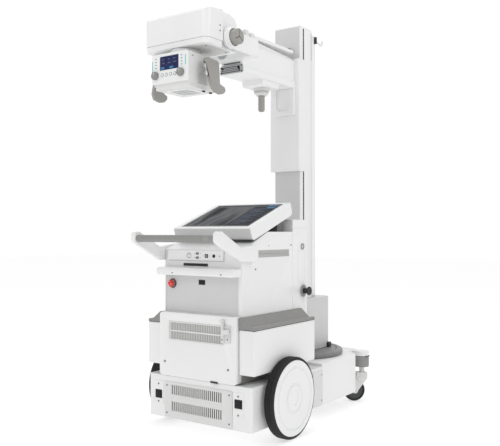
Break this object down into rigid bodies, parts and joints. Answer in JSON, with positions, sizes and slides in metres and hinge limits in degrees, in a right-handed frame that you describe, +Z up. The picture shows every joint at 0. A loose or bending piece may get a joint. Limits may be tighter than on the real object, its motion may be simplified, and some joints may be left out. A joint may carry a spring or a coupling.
{
  "type": "mobile x-ray unit",
  "caption": "Powered cart with console, monitor and push handle, and a swivelling column whose telescopic arm carries an x-ray tube head and collimator over the cart.",
  "frame": {"origin": "on the floor, at the middle of the object's bounding box", "axes": "+X to the operator's right, +Y forward (the operator stands at -Y, the column is at +Y), +Z up"},
  "size_m": [0.7, 1.283, 1.95],
  "materials": {
    "white_housing": "satin moulded white",
    "white_painted_steel": "satin white powder coat",
    "painted_aluminium": "satin white paint",
    "panel_plastic": "fine-grained matt off-white",
    "grey_plastic": "fine-grained matt grey",
    "grey_metal": "satin grey paint",
    "dark_frame": "matt dark grey paint",
    "bare_aluminium": "satin drawn aluminium",
    "drive_steel": "machined steel",
    "battery_case": "black case",
    "tyre_rubber": "matt black rubber",
    "caster_rubber": "matt black rubber",
    "black_plastic": "matt black",
    "electronics": "grey case",
    "screen": "black glass front",
    "stop_red": "glossy red",
    "tube_copper": "machined copper alloy",
    "steel_fittings": "satin steel"
  },
  "bodies": {
    "chassis": {"base_tub": "white_painted_steel", "chassis_frame": "dark_frame", "front_housing": "white_housing", "vent_plate": "panel_plastic", "drive_unit": "drive_steel", "battery_pack": "battery_case", "caster_cap_right": "grey_plastic", "caster_cap_left": "grey_plastic", "cabinet_shell": "white_housing", "generator": "electronics", "computer_unit": "electronics", "rear_service_panel": "white_housing", "side_pod_right": "white_housing", "side_pod_left": "white_housing", "side_ledge_right": "grey_plastic", "side_ledge_left": "grey_plastic", "work_shelf": "white_housing", "connector_plate": "panel_plastic", "cord_bobbin": "black_plastic", "handle_arm_right": "white_housing", "handle_arm_left": "white_housing", "handle_bar": "grey_plastic", "monitor_mount": "black_plastic", "turret_ring": "grey_metal"},
    "monitor": {"monitor_shell": "white_housing", "monitor_screen": "screen"},
    "stop_button": {"stop_button": "stop_red"},
    "power_button": {"power_button": "panel_plastic"},
    "drive_wheel_right": {"tyre_right": "tyre_rubber", "wheel_hub_right": "white_housing"},
    "drive_wheel_left": {"tyre_left": "tyre_rubber", "wheel_hub_left": "white_housing"},
    "caster_fork_right": {"caster_fork_right": "steel_fittings"},
    "caster_fork_left": {"caster_fork_left": "steel_fittings"},
    "caster_wheel_right": {"caster_wheel_right": "caster_rubber"},
    "caster_wheel_left": {"caster_wheel_left": "caster_rubber"},
    "column": {"mast": "white_painted_steel", "mast_front_cover": "white_housing", "foot_cover": "panel_plastic"},
    "carriage": {"carriage": "white_painted_steel", "arm_sleeve": "painted_aluminium", "arm_rail": "bare_aluminium"},
    "arm_grip": {"arm_grip": "grey_plastic"},
    "arm": {"inner_arm": "bare_aluminium"},
    "yoke": {"yoke": "painted_aluminium"},
    "tilt_knob": {"tilt_knob": "grey_plastic"},
    "tube_head": {"tube_shell": "white_housing", "tube_tray": "bare_aluminium", "tube_insert": "tube_copper"},
    "collimator": {"collimator_body": "panel_plastic", "control_panel": "white_housing", "grab_handle_right": "grey_plastic", "grab_handle_left": "grey_plastic"},
    "shutter_knob_left": {"shutter_knob_left": "grey_plastic"},
    "shutter_knob_right": {"shutter_knob_right": "grey_plastic"},
    "release_lever": {"release_lever": "steel_fittings"},
    "panel_button_1": {"panel_button_1": "grey_plastic"},
    "panel_button_2": {"panel_button_2": "grey_plastic"},
    "panel_button_3": {"panel_button_3": "grey_plastic"},
    "panel_button_4": {"panel_button_4": "grey_plastic"}
  },
  "joints": [
    {"name": "monitor_tilt", "type": "hinge", "parent": "chassis", "child": "monitor", "pos_m": [0, -0.3285, 0.85], "axis": [1, 0, 0], "range_deg": [0, 25]},
    {"name": "stop_button_press", "type": "slide", "parent": "chassis", "child": "stop_button", "axis": [0, 1, 0], "range_m": [0, 0.005], "stiffness_N_per_m": 2500, "springref_m": -0.002},
    {"name": "power_button_press", "type": "slide", "parent": "chassis", "child": "power_button", "axis": [0, 1, 0], "range_m": [0, 0.002], "stiffness_N_per_m": 1200, "springref_m": -0.0015},
    {"name": "drive_wheel_right_spin", "type": "hinge", "parent": "chassis", "child": "drive_wheel_right", "pos_m": [0, -0.2085, 0.175], "axis": [1, 0, 0], "continuous": true},
    {"name": "drive_wheel_left_spin", "type": "hinge", "parent": "chassis", "child": "drive_wheel_left", "pos_m": [0, -0.2085, 0.175], "axis": [1, 0, 0], "continuous": true},
    {"name": "caster_right_swivel", "type": "hinge", "parent": "chassis", "child": "caster_fork_right", "pos_m": [0.268, 0.5955, 0.1], "axis": [0, 0, 1], "continuous": true},
    {"name": "caster_right_spin", "type": "hinge", "parent": "caster_fork_right", "child": "caster_wheel_right", "pos_m": [0.2377, 0.5664, 0.056], "axis": [0.6921, -0.7218, 0], "continuous": true},
    {"name": "caster_left_swivel", "type": "hinge", "parent": "chassis", "child": "caster_fork_left", "pos_m": [-0.268, 0.5955, 0.1], "axis": [0, 0, 1], "continuous": true},
    {"name": "caster_left_spin", "type": "hinge", "parent": "caster_fork_left", "child": "caster_wheel_left", "pos_m": [-0.2377, 0.5664, 0.056], "axis": [-0.6921, -0.7218, 0], "continuous": true},
    {"name": "column_swivel", "type": "hinge", "parent": "chassis", "child": "column", "pos_m": [0, 0.363, 0.275], "axis": [0, 0, 1], "range_deg": [-180, 180]},
    {"name": "arm_lift", "type": "slide", "parent": "column", "child": "carriage", "axis": [0, 0, 1], "range_m": [-0.52, 0.035]},
    {"name": "arm_grip_turn", "type": "hinge", "parent": "carriage", "child": "arm_grip", "pos_m": [0, 0.0465, 1.53], "axis": [0, 0, 1], "range_deg": [-45, 45]},
    {"name": "arm_extend", "type": "slide", "parent": "carriage", "child": "arm", "axis": [0, -1, 0], "range_m": [0, 0.3]},
    {"name": "head_roll", "type": "hinge", "parent": "arm", "child": "yoke", "pos_m": [0, -0.2185, 1.704], "axis": [0, 1, 0], "range_deg": [-180, 180]},
    {"name": "tilt_knob_turn", "type": "hinge", "parent": "yoke", "child": "tilt_knob", "pos_m": [0.2, -0.4435, 1.704], "axis": [1, 0, 0], "range_deg": [-180, 180]},
    {"name": "head_tilt", "type": "hinge", "parent": "yoke", "child": "tube_head", "pos_m": [0, -0.4435, 1.704], "axis": [-1, 0, 0], "range_deg": [-30, 90]},
    {"name": "collimator_turn", "type": "hinge", "parent": "tube_head", "child": "collimator", "pos_m": [0, -0.5285, 1.64], "axis": [0, 0, 1], "range_deg": [-90, 90]},
    {"name": "shutter_knob_left_turn", "type": "hinge", "parent": "collimator", "child": "shutter_knob_left", "pos_m": [-0.076, -0.6335, 1.544], "axis": [0, 1, 0], "range_deg": [-150, 150]},
    {"name": "shutter_knob_right_turn", "type": "hinge", "parent": "collimator", "child": "shutter_knob_right", "pos_m": [0.06, -0.6335, 1.544], "axis": [0, 1, 0], "range_deg": [-150, 150]},
    {"name": "release_lever_press", "type": "slide", "parent": "collimator", "child": "release_lever", "axis": [0, 1, 0], "range_m": [0, 0.006], "stiffness_N_per_m": 800, "springref_m": -0.003},
    {"name": "panel_button_1_press", "type": "slide", "parent": "collimator", "child": "panel_button_1", "axis": [0, 1, 0], "range_m": [0, 0.0015], "stiffness_N_per_m": 1000, "springref_m": -0.001},
    {"name": "panel_button_2_press", "type": "slide", "parent": "collimator", "child": "panel_button_2", "axis": [0, 1, 0], "range_m": [0, 0.0015], "stiffness_N_per_m": 1000, "springref_m": -0.001},
    {"name": "panel_button_3_press", "type": "slide", "parent": "collimator", "child": "panel_button_3", "axis": [0, 1, 0], "range_m": [0, 0.0015], "stiffness_N_per_m": 1000, "springref_m": -0.001},
    {"name": "panel_button_4_press", "type": "slide", "parent": "collimator", "child": "panel_button_4", "axis": [0, 1, 0], "range_m": [0, 0.0015], "stiffness_N_per_m": 1000, "springref_m": -0.001}
  ]
}
